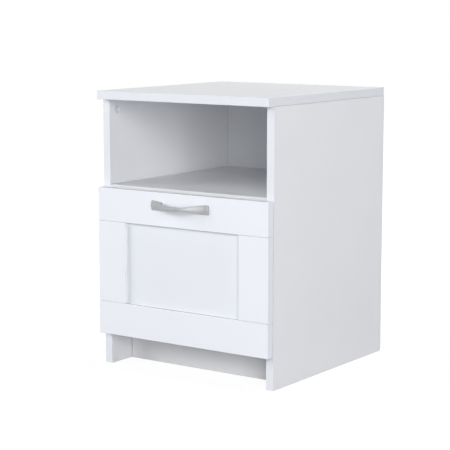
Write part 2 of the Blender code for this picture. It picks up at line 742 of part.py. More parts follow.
# Handle screws, through the top rail from inside the drawer
screw_depth = handle_reach(HANDLE_HOLE_SPACING / 2) - HANDLE_SKIN
for side, hand in LEFT_AND_RIGHT:
    screw_x = hand * HANDLE_HOLE_SPACING / 2
    seat = Vector((screw_x, FRONT_BACK_Y, HANDLE_Z))
    bore(rails["top"], seat, -Y_AXIS, SCREW_RADIUS + GAP, FRONT_THICKNESS + CLEAR_OF_FACE)
    bore(handle, Vector((screw_x, FRONT_Y - GAP, HANDLE_Z)), -Y_AXIS, SCREW_RADIUS + GAP, screw_depth)
    tip = FRONT_THICKNESS + screw_depth
    screw_profile = [
        (0, -GAP - SCREW_HEAD_HEIGHT),
        (SCREW_HEAD_RADIUS / 2, -GAP - SCREW_HEAD_HEIGHT),
        (SCREW_HEAD_RADIUS, -GAP - SCREW_HEAD_HEIGHT / 2),
        (SCREW_HEAD_RADIUS, -GAP),
        (SCREW_RADIUS, -GAP),
        (SCREW_RADIUS, tip - SCREW_RADIUS / 2),
        (SCREW_RADIUS / 2, tip),
        (0, tip),
    ]
    turn = (-Y_AXIS).to_track_quat("Z", "Y").to_matrix()
    screw_form = turned_form(screw_profile, FASTENER_STEPS)
    smooth(piece(f"handle_screw_{side}", screw_form, STEEL_FINISH, seat, drawer, turn))
smooth(handle)
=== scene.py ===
"""The bedside cabinet, dressed: laminated carcass, framed drawer on roller runners, satin bow handle."""
from math import atan, cos, hypot, pi, radians, sin

import bmesh
import bpy
from mathutils import Matrix, Vector


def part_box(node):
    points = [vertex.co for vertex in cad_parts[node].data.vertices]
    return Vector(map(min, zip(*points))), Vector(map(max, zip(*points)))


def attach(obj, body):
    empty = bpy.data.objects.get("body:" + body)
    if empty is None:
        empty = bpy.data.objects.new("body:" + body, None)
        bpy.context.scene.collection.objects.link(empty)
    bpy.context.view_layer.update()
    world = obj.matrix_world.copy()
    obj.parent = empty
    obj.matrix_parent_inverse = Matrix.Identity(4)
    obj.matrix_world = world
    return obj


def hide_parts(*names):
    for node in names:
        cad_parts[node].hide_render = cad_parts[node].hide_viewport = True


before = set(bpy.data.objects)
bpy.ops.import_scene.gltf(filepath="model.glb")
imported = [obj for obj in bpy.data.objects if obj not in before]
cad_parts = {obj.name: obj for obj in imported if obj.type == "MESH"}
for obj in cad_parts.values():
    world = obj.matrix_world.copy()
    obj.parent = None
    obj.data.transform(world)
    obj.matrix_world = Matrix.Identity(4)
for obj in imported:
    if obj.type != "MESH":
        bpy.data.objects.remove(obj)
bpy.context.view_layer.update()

# Side panels
# Two boards of 16 mm chipboard, faced with white melamine, that stand on the floor and carry the rest.
# The front and upper edges are banded, the others left raw, and two cam bores are drilled from inside.
SIDES = {"left": -1, "right": 1}
X, Y, Z = range(3)
EDGES = {
    "front": (Y, -1),
    "rear": (Y, 1),
    "left": (X, -1),
    "right": (X, 1),
    "upper": (Z, 1),
    "lower": (Z, -1),
}
EDGE_ROUND = 0.0005
EDGE_STEPS = 4
SEAM_SHARE = 0.62
BORE_CLEARANCE = 0.0005
BORE_STEPS = 48
MELAMINE_TONES = ((0.845, 0.857, 0.886), (0.828, 0.840, 0.870))
MELAMINE_SKIN = {"patch": 9.0, "gloss": (0.36, 0.46), "grain": 760.0, "relief": 0.000022}
BAND_TONES = ((0.785, 0.804, 0.854), (0.770, 0.789, 0.839))
BAND_SKIN = {"patch": 14.0, "gloss": (0.30, 0.38), "grain": 1500.0, "relief": 0.000008}
SEAM_TONES = ((0.62, 0.62, 0.61), (0.52, 0.52, 0.51))
CHIP_TONES = ((0.16, 0.085, 0.038), (0.46, 0.29, 0.14), (0.63, 0.45, 0.25))
CHIP_SHARES = (0.25, 0.5, 0.8)
SMEAR_STRETCH = (3.1, 2.3, 2.7)


def add_node(tree, kind, values=(), feeds=(), **settings):
    """Places a shader node with its settings, sets its sockets and links the sockets that feed it."""
    made = tree.nodes.new(kind)
    for setting, choice in settings.items():
        setattr(made, setting, choice)
    for socket, value in dict(values).items():
        made.inputs[socket].default_value = value
    for socket, source in dict(feeds).items():
        tree.links.new(source, made.inputs[socket])
    return made


def new_group(name, takes, gives):
    """An empty shader group with named sockets; returns it with its inner inputs and outputs."""
    group = bpy.data.node_groups.new(name, "ShaderNodeTree")
    for socket, kind in takes.items():
        group.interface.new_socket(socket, in_out="INPUT", socket_type=f"NodeSocket{kind}")
    for socket, kind in gives.items():
        group.interface.new_socket(socket, in_out="OUTPUT", socket_type=f"NodeSocket{kind}")
    given = group.nodes.new("NodeGroupInput").outputs
    wanted = group.nodes.new("NodeGroupOutput").inputs
    return group, given, wanted


def surface_drift_group():
    """Slow drift of tone and gloss over a surface, from its making and from hands."""
    takes = {"Light": "Color", "Shade": "Color", "Patch": "Float", "Smooth": "Float", "Dull": "Float"}
    gives = {"Colour": "Color", "Roughness": "Float"}
    group, given, wanted = new_group("surface_drift", takes, gives)
    place = add_node(group, "ShaderNodeTexCoord").outputs["Object"]
    cloud = add_node(
        group,
        "ShaderNodeTexNoise",
        {"Detail": 5.0, "Roughness": 0.6},
        {"Vector": place, "Scale": given["Patch"]},
    )
    spread = add_node(
        group, "ShaderNodeMapRange", {"From Min": 0.3, "From Max": 0.7}, {"Value": cloud.outputs["Fac"]}
    )
    tone = add_node(
        group,
        "ShaderNodeMixRGB",
        feeds={"Fac": spread.outputs["Result"], "Color1": given["Shade"], "Color2": given["Light"]},
    )
    finer = add_node(group, "ShaderNodeVectorMath", {1: SMEAR_STRETCH}, {0: place}, operation="MULTIPLY")
    smear = add_node(
        group,
        "ShaderNodeTexNoise",
        {"Detail": 6.0, "Roughness": 0.55, "Distortion": 0.4},
        {"Vector": finer.outputs["Vector"], "Scale": given["Patch"]},
    )
    gloss = add_node(
        group,
        "ShaderNodeMapRange",
        {"From Min": 0.32, "From Max": 0.68},
        {"Value": smear.outputs["Fac"], "To Min": given["Smooth"], "To Max": given["Dull"]},
    )
    group.links.new(tone.outputs["Color"], wanted["Colour"])
    group.links.new(gloss.outputs["Result"], wanted["Roughness"])
    return group


def fine_relief_group():
    """The fine pebbled relief of a pressed, rolled or sprayed surface."""
    takes = {"Grain": "Float", "Pebble": "Float"}
    group, given, wanted = new_group("fine_relief", takes, {"Height": "Float"})
    place = add_node(group, "ShaderNodeTexCoord").outputs["Object"]
    spot = {"Vector": place, "Scale": given["Grain"]}
    waves = add_node(group, "ShaderNodeTexNoise", {"Detail": 2.0}, spot)
    pebbles = add_node(group, "ShaderNodeTexVoronoi", {"Smoothness": 0.7}, spot, feature="SMOOTH_F1")
    blend = add_node(
        group,
        "ShaderNodeMixRGB",
        feeds={
            "Fac": given["Pebble"],
            "Color1": waves.outputs["Fac"],
            "Color2": pebbles.outputs["Distance"],
        },
    )
    group.links.new(blend.outputs["Color"], wanted["Height"])
    return group


surface_drift = surface_drift_group()
fine_relief = fine_relief_group()


def new_finish(name):
    """A plain material; returns it with its nodes and the inputs of its shader."""
    made = bpy.data.materials.new(name)
    made.use_nodes = True
    return made, made.node_tree, made.node_tree.nodes["Principled BSDF"].inputs


def coated_finish(name, tones, patch, gloss, grain, relief, pebble=0.5, constants=()):
    """A finish whose tone and gloss drift slowly, in patches, over a fine relief.

    patch and grain count the patches and the bumps in a metre, gloss is the least and the most
    roughness, and relief is the height of the bumps.
    """
    made, tree, surface = new_finish(name)
    for socket, value in dict(constants).items():
        surface[socket].default_value = value
    light, shade = tones
    smooth, dull = gloss
    drift = add_node(
        tree,
        "ShaderNodeGroup",
        {"Light": (*light, 1), "Shade": (*shade, 1), "Patch": patch, "Smooth": smooth, "Dull": dull},
        node_tree=surface_drift,
    )
    height = add_node(tree, "ShaderNodeGroup", {"Grain": grain, "Pebble": pebble}, node_tree=fine_relief)
    bump = add_node(tree, "ShaderNodeBump", {"Distance": relief}, {"Height": height.outputs["Height"]})
    tree.links.new(drift.outputs["Colour"], surface["Base Color"])
    tree.links.new(drift.outputs["Roughness"], surface["Roughness"])
    tree.links.new(bump.outputs["Normal"], surface["Normal"])
    return made


def raw_chipboard():
    """Sawn chipboard: pale and dark flakes pressed with resin, open and rough."""
    made, tree, surface = new_finish("raw_chipboard")
    place = add_node(tree, "ShaderNodeTexCoord").outputs["Object"]
    flakes = add_node(tree, "ShaderNodeTexVoronoi", {"Scale": 620.0}, {"Vector": place})
    dust = add_node(tree, "ShaderNodeTexNoise", {"Scale": 900.0, "Detail": 6.0}, {"Vector": place})
    shades = add_node(
        tree,
        "ShaderNodeMixRGB",
        {"Fac": 0.45},
        {"Color1": flakes.outputs["Color"], "Color2": dust.outputs["Fac"]},
    )
    tones = add_node(tree, "ShaderNodeValToRGB", feeds={"Fac": shades.outputs["Color"]})
    stops = tones.color_ramp.elements
    stops.new(CHIP_SHARES[1])
    for stop, share, tone in zip(stops, CHIP_SHARES, CHIP_TONES):
        stop.position = share
        stop.color = (*tone, 1)
    bump = add_node(tree, "ShaderNodeBump", {"Distance": 0.0003}, {"Height": flakes.outputs["Distance"]})
    rough = add_node(
        tree, "ShaderNodeMapRange", {"To Min": 0.7, "To Max": 0.95}, {"Value": dust.outputs["Fac"]}
    )
    tree.links.new(tones.outputs["Color"], surface["Base Color"])
    tree.links.new(rough.outputs["Result"], surface["Roughness"])
    tree.links.new(bump.outputs["Normal"], surface["Normal"])
    return made


melamine = coated_finish("melamine", MELAMINE_TONES, **MELAMINE_SKIN)
edge_band = coated_finish("edge_band", BAND_TONES, **BAND_SKIN)
band_seam = coated_finish(
    "band_seam", SEAM_TONES, patch=60.0, gloss=(0.5, 0.7), grain=2500.0, relief=0.00002
)
chipboard = raw_chipboard()
BOARD_FINISHES = (melamine, edge_band, chipboard, band_seam)
FACE, BAND, CORE, SEAM = range(4)


def block(low, high):
    """A bmesh block between two corners."""
    form = bmesh.new()
    place = Matrix.Translation((low + high) / 2) @ Matrix.Diagonal((*(high - low), 1))
    bmesh.ops.create_cube(form, size=1, matrix=place)
    return form


def object_from(name, form, finishes):
    """Turns a bmesh into an object with its finishes."""
    bmesh.ops.recalc_face_normals(form, faces=form.faces)
    mesh = bpy.data.meshes.new(name)
    form.to_mesh(mesh)
    form.free()
    for finish in finishes:
        mesh.materials.append(finish)
    made = bpy.data.objects.new(name, mesh)
    bpy.context.scene.collection.objects.link(made)
    return made


def eased_board(name, corners, finishes, banded=(), round_off=EDGE_ROUND):
    """A board between two corners with rounded arrises; edges that aren't banded show the raw core."""
    low, high = corners
    thin = min(range(3), key=lambda axis: high[axis] - low[axis])
    form = block(low, high)
    bmesh.ops.bevel(
        form, geom=form.edges[:], offset=round_off, segments=EDGE_STEPS, profile=0.5, affect="EDGES"
    )
    edges = [(edge, axis, high[axis] if way > 0 else low[axis]) for edge, (axis, way) in EDGES.items()]
    for face in form.faces:
        face.smooth = True
        middle = face.calc_center_median()
        depths = {edge: abs(middle[axis] - limit) for edge, axis, limit in edges if axis != thin}
        for edge, depth in depths.items():
            if len(finishes) > 1 and depth < round_off and face.material_index in (FACE, CORE):
                if edge not in banded:
                    face.material_index = CORE
                else:
                    face.material_index = SEAM if depth > round_off * SEAM_SHARE else BAND
    return object_from(name, form, finishes)


def reshape(target, form, operation="DIFFERENCE"):
    """Cuts a form out of a piece, or welds it on, and keeps the result as the piece's mesh."""
    cutter = object_from("cutter", form, ())
    boolean = target.modifiers.new("reshape", "BOOLEAN")
    boolean.operation = operation
    boolean.solver = "EXACT"
    boolean.object = cutter
    depsgraph = bpy.context.evaluated_depsgraph_get()
    shaped = bpy.data.meshes.new_from_object(target.evaluated_get(depsgraph), depsgraph=depsgraph)
    target.modifiers.clear()
    plain = target.data
    target.data = shaped
    shaped.name = target.name
    bpy.data.meshes.remove(plain)
    bpy.data.objects.remove(cutter)


def unit(axis):
    """A vector of length 1 along an axis."""
    return Vector([float(other == axis) for other in range(3)])


def facing(direction):
    """The turn that points a form's Z axis in a direction."""
    return Vector(direction).to_track_quat("Z", "Y").to_matrix().to_4x4()


def bore_for_cam(target, cam_node, axis):
    """Drills the flat-bottomed bore that a cam lock sits in, along one axis."""
    low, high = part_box(cam_node)
    radius = max(high[other] - low[other] for other in range(3) if other != axis) / 2 + BORE_CLEARANCE
    form = bmesh.new()
    bmesh.ops.create_cone(
        form,
        cap_ends=True,
        segments=BORE_STEPS,
        radius1=radius,
        radius2=radius,
        depth=high[axis] - low[axis] + 2 * BORE_CLEARANCE,
        matrix=Matrix.Translation((low + high) / 2) @ facing(unit(axis)),
    )
    reshape(target, form)


def fit(piece, body, slot, *nodes):
    """Keeps flat faces flat in the shading, then puts the piece on its body in place of its nodes."""
    normals = piece.modifiers.new("flat_faces", "WEIGHTED_NORMAL")
    normals.weight = 100
    normals.keep_sharp = True
    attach(piece, body)
    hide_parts(*nodes)


for side in SIDES:
    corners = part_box(f"{side}_side_panel")
    side_board = eased_board(f"{side}_side_board", corners, BOARD_FINISHES, ("front", "upper"))
    for end in ("front", "rear"):
        bore_for_cam(side_board, f"top_cam_{side}_{end}", X)
    fit(side_board, "cabinet", "laminate", f"{side}_side_panel")

# Shelf, bottom and plinth
# Boards between the sides, coloured a little greyer than them as painted shade of the niche, under the
# drawer and in the toe space. The shelf is the floor of the open niche and the bottom lies under the
# drawer; cams are let into both from below. The plinth, cut a little short and held by dowels, stands
# behind the toe space.
# Greyer than the sides' melamine and banding: painted shade of the niche, under the drawer and in the toe
# space.
SHADED_MELAMINE_TONES = ((0.782, 0.790, 0.812), (0.765, 0.773, 0.795))
SHADED_BAND_TONES = ((0.694, 0.701, 0.712), (0.680, 0.687, 0.698))
PLINTH_PLAY = 0.0006
melamine_painted_shade = coated_finish("melamine_painted_shade", SHADED_MELAMINE_TONES, **MELAMINE_SKIN)
band_painted_shade = coated_finish("band_painted_shade", SHADED_BAND_TONES, **BAND_SKIN)
SHADED_BOARD_FINISHES = (melamine_painted_shade, band_painted_shade, chipboard, band_seam)
for name, node, banded, cams, play in (
    ("shelf_board", "niche_shelf", ("front",), "shelf_cam", 0),
    ("bottom_board", "bottom_panel", ("front",), "bottom_cam", 0),
    ("plinth_face_board", "plinth_board", (), None, PLINTH_PLAY),
):
    low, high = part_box(node)
    low.x += play
    high.x -= play
    between_board = eased_board(name, (low, high), SHADED_BOARD_FINISHES, banded)
    if cams:
        for side in SIDES:
            bore_for_cam(between_board, f"{cams}_{side}", Z)
    fit(between_board, "cabinet", "laminate", node)

# Top panel
# One board banded on all four edges. It lies on the sides, overhangs them to the face of the drawer
# front, and is pulled down by four bolts that the cams in the sides hook.
all_round = ("front", "left", "right", "rear")
top_board = eased_board("top_board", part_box("top_panel"), BOARD_FINISHES, all_round)
fit(top_board, "cabinet", "laminate", "top_panel")

# Back panel
# A sheet of thin hardboard, smooth and white painted inside and screen-marked outside, that squares the
# carcass; the inside paint is toned greyer than the melamine as painted shade of the niche. Small flat
# nails, driven just below the surface, hold it to the sides, shelf and bottom.
# White paint toned greyer than the melamine: painted shade of the niche.
HARDBOARD_PAINT_AND_SHADE_TONES = ((0.715, 0.730, 0.755), (0.688, 0.703, 0.727))
SCREEN_TONES = ((0.74, 0.735, 0.72), (0.705, 0.70, 0.685))
NAIL_TONES = ((0.62, 0.63, 0.64), (0.50, 0.51, 0.52))
SHEET_ROUND = 0.0003
SCREEN_PITCH = 0.0012
# The wave texture turns through 20 radians in a metre at a scale of 1.
WAVE_RADIANS = 20
NAIL_HEAD = 0.0017
NAIL_SINK = 0.0005
NAIL_STEPS = 20
DIMPLE_STEPS = 16
NAILS_UP_A_SIDE = 6
NAILS_ACROSS = 3
# Points of a nail and of its dimple, as shares of the head's radius and of the depth it is driven to.
NAIL_PROFILE = ((0, -1.6), (0.9, -1.6), (0.97, -0.7), (0.8, -0.45), (0.3, -0.35), (0, -0.34))
DIMPLE_PROFILE = ((0, -1), (1, -1), (1.5, 1), (0, 1))


def screen_marked(name, tones):
    """Primed hardboard with the print of the wire screen that it was pressed on."""
    made = coated_finish(name, tones, patch=16.0, gloss=(0.6, 0.75), grain=900.0, relief=0.00003)
    tree = made.node_tree
    place = add_node(tree, "ShaderNodeTexCoord").outputs["Object"]
    ribs = []
    for direction in ("X", "Z"):
        rib = add_node(
            tree,
            "ShaderNodeTexWave",
            {"Scale": 2 * pi / (WAVE_RADIANS * SCREEN_PITCH), "Distortion": 0.8, "Detail": 2.0},
            {"Vector": place},
            bands_direction=direction,
        )
        ribs.append(rib.outputs["Fac"])
    mesh_print = add_node(tree, "ShaderNodeMath", feeds={0: ribs[0], 1: ribs[1]}, operation="MULTIPLY")
    surface = tree.nodes["Principled BSDF"].inputs
    pebbles = surface["Normal"].links[0].from_socket
    bump = add_node(
        tree,
        "ShaderNodeBump",
        {"Distance": 0.00008},
        {"Height": mesh_print.outputs["Value"], "Normal": pebbles},
    )
    tree.links.new(bump.outputs["Normal"], surface["Normal"])
    return made


def join_rings(form, rings, smooth=True):
    """Joins each ring of points to the next with a band of faces; a ring may be one point, repeated."""
    for lower, upper in zip(rings, rings[1:]):
        for step in range(len(lower)):
            after = (step + 1) % len(lower)
            corners = (lower[step], lower[after], upper[after], upper[step])
            form.faces.new(dict.fromkeys(corners)).smooth = smooth


def turned(profile, steps, closed=False):
    """A bmesh turned about Z from (radius, height) points; closed makes a ring."""
    form = bmesh.new()
    angles = [2 * pi * step / steps for step in range(steps)]
    rings = []
    for radius, height in profile:
        if radius:
            rings.append([form.verts.new((radius * cos(a), radius * sin(a), height)) for a in angles])
        else:
            rings.append([form.verts.new((0, 0, height))] * steps)
    join_rings(form, rings + rings[:1] if closed else rings)
    return form


def join_forms(forms):
    """Several bmeshes as one."""
    whole = bmesh.new()
    for form in forms:
        mesh = bpy.data.meshes.new("form")
        form.to_mesh(mesh)
        form.free()
        whole.from_mesh(mesh)
        bpy.data.meshes.remove(mesh)
    return whole


hardboard_paint_and_shade = coated_finish(
    "hardboard_paint_and_shade", HARDBOARD_PAINT_AND_SHADE_TONES, patch=12.0, gloss=(0.45, 0.58), grain=1100.0, relief=0.000012
)
screen_hardboard = screen_marked("screen_hardboard", SCREEN_TONES)
nail_steel = coated_finish(
    "nail_steel",
    NAIL_TONES,
    patch=300.0,
    gloss=(0.3, 0.5),
    grain=2600.0,
    relief=0.00001,
    constants={"Metallic": 1.0},
)

back_board = eased_board("back_board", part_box("back_panel"), (hardboard_paint_and_shade,), round_off=SHEET_ROUND)
back_board.data.materials.append(screen_hardboard)
back_low, back_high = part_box("back_panel")
nail_places = []
for side in SIDES:
    side_low, side_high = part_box(f"{side}_side_panel")
    for step in range(NAILS_UP_A_SIDE):
        rise = (step + 0.5) / NAILS_UP_A_SIDE
        nail_places.append(((side_low.x + side_high.x) / 2, back_low.z + rise * (back_high.z - back_low.z)))
for node in ("niche_shelf", "bottom_panel"):
    level_low, level_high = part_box(node)
    for step in range(NAILS_ACROSS):
        across = (step + 0.5) / NAILS_ACROSS - 0.5
        nail_places.append((across * (level_high.x - level_low.x), (level_low.z + level_high.z) / 2))
dimples = []
nails = []
for nail_x, nail_z in nail_places:
    place = Matrix.Translation((nail_x, back_high.y, nail_z)) @ facing((0, 1, 0))
    for forms, profile, steps in (
        (dimples, DIMPLE_PROFILE, DIMPLE_STEPS),
        (nails, NAIL_PROFILE, NAIL_STEPS),
    ):
        form = turned([(wide * NAIL_HEAD, high * NAIL_SINK) for wide, high in profile], steps)
        form.transform(place)
        forms.append(form)
reshape(back_board, join_forms(dimples))
outside = (back_low.y + back_high.y) / 2
for polygon in back_board.data.polygons:
    polygon.material_index = int(polygon.center.y > outside)
fit(back_board, "cabinet", "hardboard", "back_panel")
back_nails = object_from("back_nails", join_forms(nails), (nail_steel,))
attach(back_nails, "cabinet")

# Cam locks
# Round zinc castings, a half turn of which pulls a joint tight. Inside a chamfered rim the face is dished
# as a cone, with a cross for the driver in its floor and a small raised arrow that points at the bolt. A
# mouth in the wall lets the bolt in.
ZINC_TONES = ((0.80, 0.81, 0.82), (0.72, 0.73, 0.745))
CAM_CHAMFER = 0.0005
CAM_RIM = 0.0009
CAM_DISH = 0.0015
DISH_FLOOR = 0.0041
CAM_CROSS_LENGTH = 0.0078
CAM_CROSS_WIDTH = 0.0015
CAM_CROSS_DEPTH = 0.0032
MOUTH_WIDTH = 0.0066
MOUTH_FLOOR_SHARE = 1.1
MOUTH_ROOF_SHARE = 0.38
ARROW_LENGTH = 0.0016
ARROW_HALF_SHARE = 0.6
ARROW_RISE = 0.00025
ARROW_INSET = 0.0004
CAM_SHARP_ANGLE = 32


def prism(ends, smooth=True):
    """A bmesh between two like outlines."""
    form = bmesh.new()
    rings = []
    for end in ends:
        rings.append([form.verts.new(point) for point in end])
        form.faces.new(rings[-1])
    join_rings(form, rings, smooth)
    return form


def cut_cross(target, length, width, floor, roof):
    """Cuts a driver cross into a piece that faces +Z."""
    for long, wide in ((length, width), (width, length)):
        reshape(target, block(Vector((-long / 2, -wide / 2, floor)), Vector((long / 2, wide / 2, roof))))


def keep_corners(piece, degrees):
    """Leaves the corners that turn by more than an angle sharp, and shades the rest smooth."""
    piece.data.set_sharp_from_angle(angle=radians(degrees))


cam_places = []
for side, hand in SIDES.items():
    inwards = Vector((-hand, 0, 0))
    for end in ("front", "rear"):
        cam_places.append((f"top_cam_{side}_{end}", "cabinet", inwards, Vector((0, 0, 1))))
    for level in ("shelf", "bottom"):
        cam_places.append((f"{level}_cam_{side}", "cabinet", Vector((0, 0, -1)), -inwards))
    cam_places.append((f"drawer_cam_{side}", "drawer", inwards, Vector((0, -1, 0))))
zinc = coated_finish(
    "cast_zinc",
    ZINC_TONES,
    patch=220.0,
    gloss=(0.5, 0.62),
    grain=1800.0,
    relief=0.00003,
    pebble=0.7,
    constants={"Metallic": 0.3},
)
for node, body, outwards, to_bolt in cam_places:
    low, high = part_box(node)
    face_axis = max(range(3), key=lambda axis: abs(outwards[axis]))
    deep = high[face_axis] - low[face_axis]
    radius = max(high[axis] - low[axis] for axis in range(3) if axis != face_axis) / 2
    lip = radius - CAM_RIM
    profile = [
        (0, -deep),
        (radius - CAM_CHAMFER, -deep),
        (radius, CAM_CHAMFER - deep),
        (radius, -CAM_CHAMFER),
        (radius - CAM_CHAMFER, 0),
        (lip, 0),
        (DISH_FLOOR, -CAM_DISH),
        (0, -CAM_DISH),
    ]
    cam_lock = object_from(node.replace("cam", "cam_lock"), turned(profile, BORE_STEPS), (zinc,))
    mouth_low = Vector((0, -MOUTH_WIDTH / 2, -deep * MOUTH_FLOOR_SHARE))
    mouth_high = Vector((radius * 2, MOUTH_WIDTH / 2, -deep * MOUTH_ROOF_SHARE))
    reshape(cam_lock, block(mouth_low, mouth_high))
    cut_cross(cam_lock, CAM_CROSS_LENGTH, CAM_CROSS_WIDTH, -CAM_CROSS_DEPTH, CAM_DISH)
    tip = lip - ARROW_INSET
    barb = tip - ARROW_LENGTH
    half = ARROW_LENGTH * ARROW_HALF_SHARE
    outline = [(tip, 0), (barb, half), (barb, -half)]
    sunk = [-CAM_DISH * (lip - hypot(x, y)) / (lip - DISH_FLOOR) for x, y in outline]
    arrow = []
    for rise in (-ARROW_RISE, ARROW_RISE):
        arrow.append([(x, y, z + rise) for (x, y), z in zip(outline, sunk)])
    reshape(cam_lock, prism(arrow, smooth=False), "UNION")
    keep_corners(cam_lock, CAM_SHARP_ANGLE)
    turn = Matrix((to_bolt, outwards.cross(to_bolt), outwards)).transposed().to_4x4()
    cam_lock.matrix_world = Matrix.Translation((low + high) / 2 + outwards * deep / 2) @ turn
    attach(cam_lock, body)
    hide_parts(node)

# Connecting bolts and dowels
# Zinc plated bolts that screw into one board and are hooked by a cam in the other, and fluted beech
# dowels beside them. All of them lie inside the boards.
PLATED_TONES = ((0.66, 0.67, 0.69), (0.55, 0.57, 0.61))
BEECH_TONES = ((0.62, 0.41, 0.21), (0.48, 0.29, 0.135))
FLECK_TONE = (0.33, 0.18, 0.08, 1)
FLECK_STRETCH = (1.0, 1.0, 6.0)
DOWEL_FLUTES = 14
FLUTE_POINTS = 4
FLUTE_DEPTH = 0.0004
DOWEL_CHAMFER = 0.001
DOWEL_SHARP_ANGLE = 40


def beech_finish():
    """Bare beech: straight grain with short darker flecks."""
    made = coated_finish(
        "bare_beech", BEECH_TONES, patch=70.0, gloss=(0.6, 0.75), grain=1400.0, relief=0.00003, pebble=0.2
    )
    tree = made.node_tree
    surface = tree.nodes["Principled BSDF"].inputs
    drift = surface["Base Color"].links[0].from_socket
    place = add_node(tree, "ShaderNodeTexCoord").outputs["Object"]
    drawn = add_node(tree, "ShaderNodeVectorMath", {1: FLECK_STRETCH}, {0: place}, operation="MULTIPLY")
    flecks = add_node(
        tree, "ShaderNodeTexNoise", {"Scale": 420.0, "Detail": 4.0}, {"Vector": drawn.outputs["Vector"]}
    )
    mask = add_node(
        tree, "ShaderNodeMapRange", {"From Min": 0.55, "From Max": 0.75}, {"Value": flecks.outputs["Fac"]}
    )
    grain = add_node(
        tree, "ShaderNodeMixRGB", {"Color2": FLECK_TONE}, {"Fac": mask.outputs["Result"], "Color1": drift}
    )
    tree.links.new(grain.outputs["Color"], surface["Base Color"])
    return made


plated_steel = coated_finish(
    "plated_steel",
    PLATED_TONES,
    patch=160.0,
    gloss=(0.24, 0.4),
    grain=2400.0,
    relief=0.000012,
    pebble=0.3,
    constants={"Metallic": 1.0},
)
beech = beech_finish()
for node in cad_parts:
    if "_bolt_" in node:
        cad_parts[node].material_slots[0].material = plated_steel
    if "_dowel_" not in node:
        continue
    low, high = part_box(node)
    run = max(range(3), key=lambda axis: high[axis] - low[axis])
    half = (high[run] - low[run]) / 2
    radius = min(high[axis] - low[axis] for axis in range(3) if axis != run) / 2
    levels = [(radius - DOWEL_CHAMFER, -half), (radius, DOWEL_CHAMFER - half)]
    levels += [(radius, half - DOWEL_CHAMFER), (radius - DOWEL_CHAMFER, half)]
    form = bmesh.new()
    steps = DOWEL_FLUTES * FLUTE_POINTS
    rings = []
    for ring_radius, height in levels:
        ring = []
        for step in range(steps):
            angle = 2 * pi * step / steps
            reach = ring_radius - (0 if step % FLUTE_POINTS else FLUTE_DEPTH)
            ring.append(form.verts.new((reach * cos(angle), reach * sin(angle), height)))
        rings.append(ring)
    join_rings(form, rings)
    form.faces.new(rings[0])
    form.faces.new(rings[-1])
    fluted = object_from(node.replace("dowel", "fluted_dowel"), form, (beech,))
    keep_corners(fluted, DOWEL_SHARP_ANGLE)
    fluted.matrix_world = Matrix.Translation((low + high) / 2) @ facing(unit(run))
    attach(fluted, "drawer" if node.startswith("drawer") else "cabinet")
    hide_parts(node)

# Roller runners
# Strips of thin steel folded on a press and coated with white baked enamel. A channel is screwed to each
# cabinet side, and a rail with a lip is screwed up into each drawer side and drops a tab for its roller.
ENAMEL_TONES = ((0.80, 0.81, 0.82), (0.77, 0.78, 0.79))
STEEL_THICKNESS = 0.0012
FOLD_RADIUS = 0.0006
FOLD_STEPS = 5
FOLD_SHARP_ANGLE = 40
RAIL_WEB_HEIGHT = 0.007
RAIL_GAP = 0.0003
TAB_RADIUS = 0.0052
TAB_STEPS = 12
TAB_HALF_SHARE = 0.4
RUNNER_SCREW_HEAD = 0.0027
CHANNEL_SCREW_PROUD = 0.0003
CHANNEL_SCREW_DROP = 0.0052
RAIL_SCREW_PROUD = 0.0012
RUNNER_SCREWS = (0.09, 0.46, 0.86)
# Points of a screw head, as shares of its radius and of its sink below the seat or its rise above it.
SCREW_PROFILE = ((0, -1), (0.5, -1), (0.96, 0), (1, 0.25), (0.86, 0.72), (0.5, 0.95), (0, 1))
HEAD_STEPS = 32
CROSS_LENGTH_SHARE = 1.1
CROSS_WIDTH_SHARE = 0.24
CROSS_SINK_SHARE = 0.7
HEAD_SHARP_ANGLE = 35
enamel = coated_finish(
    "white_enamel", ENAMEL_TONES, patch=24.0, gloss=(0.26, 0.36), grain=420.0, relief=0.000015, pebble=0.3
)


def folded_outline(corners, thickness, radius):
    """The outline, as (x, z) points, of a strip folded along its corners with the given inner radius."""
    points = [Vector(corner) for corner in corners]
    path = [(points[0], (points[1] - points[0]).normalized())]
    bend = radius + thickness / 2
    for before, corner, after in zip(points, points[1:], points[2:]):
        arrive = (corner - before).normalized()
        leave = (after - corner).normalized()
        start = corner - arrive * bend
        for step in range(FOLD_STEPS + 1):
            angle = pi / 2 * step / FOLD_STEPS
            point = start + arrive * bend * sin(angle) + leave * bend * (1 - cos(angle))
            path.append((point, arrive * cos(angle) + leave * sin(angle)))
    path.append((points[-1], (points[-1] - points[-2]).normalized()))
    left = []
    right = []
    for point, direction in path:
        across = Vector((-direction.y, direction.x)) * thickness / 2
        left.append(point + across)
        right.append(point - across)
    return left + right[::-1]


def folded_strip(name, corners, low_y, high_y):
    """A piece of enamelled steel, folded along (x, z) corners and drawn along Y."""
    outline = folded_outline(corners, STEEL_THICKNESS, FOLD_RADIUS)
    ends = [[(x, y, z) for x, z in outline] for y in (low_y, high_y)]
    return object_from(name, prism(ends), (enamel,))


def cross_head_screw(radius, proud, sink):
    """A bmesh of a domed screw head with a driver cross, its seat at height 0, facing +Z."""
    profile = []
    for share, level in SCREW_PROFILE:
        profile.append((radius * share, level * (proud if level > 0 else sink)))
    head = object_from("screw_head", turned(profile, HEAD_STEPS), ())
    cross_floor = -sink * CROSS_SINK_SHARE
    cut_cross(head, radius * CROSS_LENGTH_SHARE, radius * CROSS_WIDTH_SHARE, cross_floor, proud * 2)
    form = bmesh.new()
    form.from_mesh(head.data)
    bpy.data.objects.remove(head)
    return form


